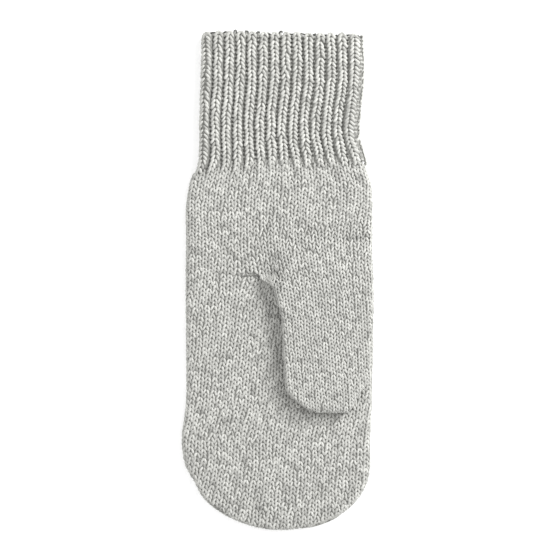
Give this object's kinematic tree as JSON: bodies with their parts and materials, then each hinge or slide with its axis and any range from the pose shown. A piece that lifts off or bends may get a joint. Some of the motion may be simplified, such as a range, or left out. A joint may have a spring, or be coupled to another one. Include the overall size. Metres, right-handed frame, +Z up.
{
  "type": "knitted mitten",
  "caption": "Child's wool mitten for the left hand, laid flat with the palm up: ribbed cuff, plain knitted hand with a round tip, and a thumb folded down over the palm.",
  "frame": {"origin": "middle of the underside's box, on the surface that the mitten lies on", "axes": "+Z up, out of the palm; +Y towards the cuff's edge; +X towards the thumb side"},
  "size_m": [0.0768, 0.1991, 0.0101],
  "materials": {
    "wool_knit": "light grey heathered wool, plain knit and 1 x 1 rib"
  },
  "bodies": {
    "root": {"cuff": "wool_knit", "hand": "wool_knit", "thumb": "wool_knit"}
  },
  "joints": []
}
